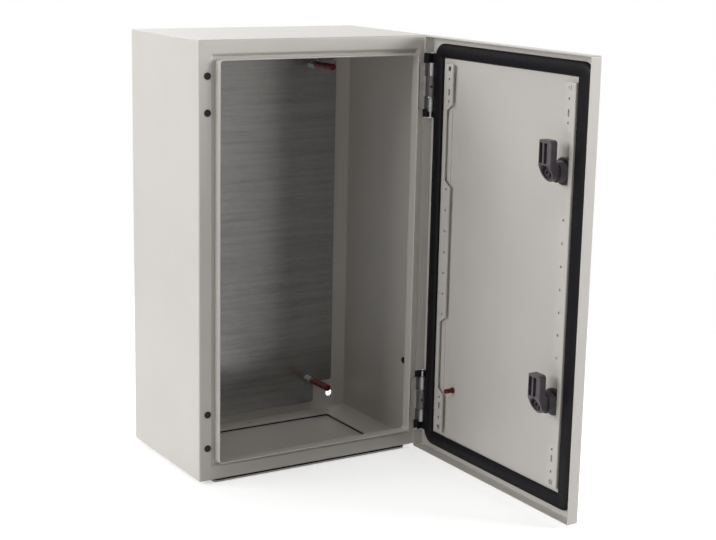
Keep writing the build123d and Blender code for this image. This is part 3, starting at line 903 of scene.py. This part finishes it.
class ENCLOSURE_OT_cut_barrel_threads(bpy.types.Operator):
    """Winds the thread on both lock barrels, between the nut and the plain neck"""

    bl_idname = "enclosure.cut_barrel_threads"
    bl_label = "Cut the barrel threads"

    def execute(self, context):
        _, fitting, _ = settings()
        for side in SIDES:
            nut_low, nut_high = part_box(side + "_lock_nut")
            barrel_low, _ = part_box(side + "_lock_housing")
            middle = (nut_low + nut_high) / 2
            length = nut_low.x - barrel_low.x - fitting.barrel_neck
            ridge = thread(
                fitting.barrel_radius,
                fitting.barrel_pitch,
                length,
                fitting.thread_rise,
                fitting.thread_steps,
            )
            # The door stands open, so the barrels point along -X
            ridge.rotation_euler = (0, -math.pi / 2, 0)
            ridge.location = (nut_low.x, middle.y, middle.z)
            close_piece(ridge, side + "_barrel_thread", "door", barrel_metal())
        return {"FINISHED"}


class ENCLOSURE_OT_cut_stud_threads(bpy.types.Operator):
    """Winds the thread that shows on the plate studs, between their nuts and caps"""

    bl_idname = "enclosure.cut_stud_threads"
    bl_label = "Cut the stud threads"

    def execute(self, context):
        _, fitting, _ = settings()
        nut_low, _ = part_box("plate_nuts")
        cap_low, cap_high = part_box("stud_caps")
        reach = self.stud_reach(cap_low, cap_high)
        for number, (x, z) in enumerate(((-1, -1), (-1, 1), (1, -1), (1, 1)), start=1):
            ridge = thread(
                fitting.stud_radius,
                fitting.stud_pitch,
                nut_low.y - cap_high.y,
                fitting.thread_rise / 2,
                fitting.thread_steps,
            )
            ridge.rotation_euler = (math.pi / 2, 0, 0)
            ridge.location = (x * reach.x, nut_low.y, z * reach.z)
            close_piece(ridge, f"stud_thread_{number}", "enclosure", bright_metal())
        return {"FINISHED"}

    def stud_reach(self, low, high):
        """How far the studs stand from the middle of the plate."""
        radius = self.cap_radius()
        return Vector(((high.x - low.x) / 2 - radius, 0, (high.z - low.z) / 2 - radius))

    def cap_radius(self):
        """Radius of a stud cap, from the least and the greatest x of the two caps on the right."""
        points = [v.co.x for v in NODES["stud_caps"].data.vertices if v.co.x > 0]
        return (max(points) - min(points)) / 2


class ENCLOSURE_OT_set_stage(bpy.types.Operator):
    """Sets the floor, the lamps, the white world and the camera"""

    bl_idname = "enclosure.set_stage"
    bl_label = "Set the stage"

    # Distance in metres past which the camera shows nothing
    far_clip = 50.0

    def execute(self, context):
        _, _, stage = settings()
        self.lay_floor(stage)
        self.hang_lamps()
        self.light_world(context.scene, stage)
        self.place_camera(context.scene, stage)
        context.scene.view_settings.view_transform = "Standard"
        return {"FINISHED"}

    def seen(self, finish):
        """1 for rays that show the background, straight or in a mirror or glass."""
        straight = finish.add("ShaderNodeLightPath", output="Is Camera Ray")
        mirrored = finish.add("ShaderNodeLightPath", output="Is Glossy Ray")
        through = finish.add("ShaderNodeLightPath", output="Is Transmission Ray")
        return straight + mirrored + through

    def lay_floor(self, stage):
        """White floor that keeps the shadow of the enclosure."""
        select_none()
        bpy.ops.mesh.primitive_plane_add(size=stage.floor_size, location=(0, 0, CAD_BOX[0][2]))
        floor = bpy.context.object
        floor.name = "floor"
        paper = Finish("floor_paper")
        grey = stage.floor_grey
        matt = paper.add("ShaderNodeBsdfDiffuse", {}, {"Color": (grey, grey, grey, 1.0)})
        glow = paper.add("ShaderNodeEmission", {}, {"Color": WHITE, "Strength": stage.floor_glow})
        near = paper.add("ShaderNodeAddShader", {}, {0: matt, 1: glow})
        white = paper.add("ShaderNodeEmission", {}, {"Color": WHITE, "Strength": 1.0})
        length = {"operation": "LENGTH"}
        distance = paper.add("ShaderNodeVectorMath", length, {0: paper.place}, "Value")
        far = paper.spread(distance, stage.shadow_reach, stage.white_from, 0.0, 1.0)
        lifted = paper.add("ShaderNodeMixShader", {}, {0: far, 1: near, 2: white})
        mixed = paper.add("ShaderNodeMixShader", {}, {0: self.seen(paper), 1: matt, 2: lifted})
        paper.end("ShaderNodeOutputMaterial", mixed)
        floor.data.materials.append(paper.material)

    def hang_lamps(self):
        """Square lamps that all point at the origin."""
        # Name, place, side in metres and power in watts
        lamps = (
            ("left_back_lamp", (-2.4, 1.0, 1.2), 1.4, 33.0),
            ("left_lamp", (-2.8, -0.4, 1.0), 1.4, 33.0),
            ("top_back_lamp", (0.2, 2.0, 2.4), 1.6, 54.0),
            ("front_top_lamp", (-0.4, -1.6, 2.6), 1.4, 13.0),
            ("front_lamp", (0.2, -3.0, 1.0), 1.4, 4.0),
            ("right_front_lamp", (2.4, -2.0, 0.9), 1.4, 72.0),
        )
        for name, place, size, power in lamps:
            light = bpy.data.lights.new(name, "AREA")
            light.shape = "SQUARE"
            light.size = size
            light.energy = power
            lamp = bpy.data.objects.new(name, light)
            lamp.location = place
            lamp.rotation_euler = Vector(place).to_track_quat("Z", "Y").to_euler()
            bpy.context.scene.collection.objects.link(lamp)

    def light_world(self, scene, stage):
        """Faint light from all sides, and a white background."""
        world = bpy.data.worlds.new("white_world")
        sky = Nodes(world)
        soft = sky.add("ShaderNodeBackground", {}, {"Color": WHITE, "Strength": stage.world_light})
        white = sky.add("ShaderNodeBackground", {}, {"Color": WHITE, "Strength": 1.0})
        mixed = sky.add("ShaderNodeMixShader", {}, {0: self.seen(sky), 1: soft, 2: white})
        sky.end("ShaderNodeOutputWorld", mixed)
        scene.world = world

    def place_camera(self, scene, stage):
        """Camera that looks at the enclosure from the left front, slightly from above."""
        lens = bpy.data.cameras.new("camera")
        lens.lens = stage.camera_lens
        lens.sensor_fit = "HORIZONTAL"
        lens.clip_end = self.far_clip
        camera = bpy.data.objects.new("camera", lens)
        turn = Matrix.Rotation(-stage.camera_heading, 4, "Z")
        nod = Matrix.Rotation(math.pi / 2 - stage.camera_fall, 4, "X")
        roll = Matrix.Rotation(stage.camera_roll, 4, "Z")
        camera.matrix_world = Matrix.Translation(stage.camera_place) @ turn @ nod @ roll
        scene.collection.objects.link(camera)
        scene.camera = camera


OPERATORS = (
    ENCLOSURE_OT_paint_sheet_steel,
    ENCLOSURE_OT_finish_mounting_plate,
    ENCLOSURE_OT_finish_bright_hardware,
    ENCLOSURE_OT_finish_dark_hardware,
    ENCLOSURE_OT_finish_soft_parts,
    ENCLOSURE_OT_lay_door_gasket,
    ENCLOSURE_OT_shade_hinge_gaps,
    ENCLOSURE_OT_cut_barrel_threads,
    ENCLOSURE_OT_cut_stud_threads,
    ENCLOSURE_OT_set_stage,
)


class ENCLOSURE_PT_sidebar(bpy.types.Panel):
    """Lists the steps that dress the enclosure"""

    bl_idname = "ENCLOSURE_PT_sidebar"
    bl_label = "Steel wall enclosure"
    bl_space_type = "VIEW_3D"
    bl_region_type = "UI"
    bl_category = "Enclosure"

    def draw(self, context):
        for step in OPERATORS:
            self.layout.operator(step.bl_idname)
        for group in settings():
            for name in group.bl_rna.properties.keys():
                if name not in ("rna_type", "name"):
                    self.layout.prop(group, name)


GROUPS = (
    ("enclosure_finish", FinishSettings),
    ("enclosure_fitting", FittingSettings),
    ("enclosure_stage", StageSettings),
)


def register():
    for name, group in GROUPS:
        bpy.utils.register_class(group)
        setattr(bpy.types.Scene, name, PointerProperty(type=group))
    for step in OPERATORS:
        bpy.utils.register_class(step)
    bpy.utils.register_class(ENCLOSURE_PT_sidebar)


def unregister():
    bpy.utils.unregister_class(ENCLOSURE_PT_sidebar)
    for step in reversed(OPERATORS):
        bpy.utils.unregister_class(step)
    for name, group in reversed(GROUPS):
        delattr(bpy.types.Scene, name)
        bpy.utils.unregister_class(group)


def main():
    register()
    for step in OPERATORS:
        group, name = step.bl_idname.split(".")
        getattr(getattr(bpy.ops, group), name)()


if __name__ == "__main__":
    main()
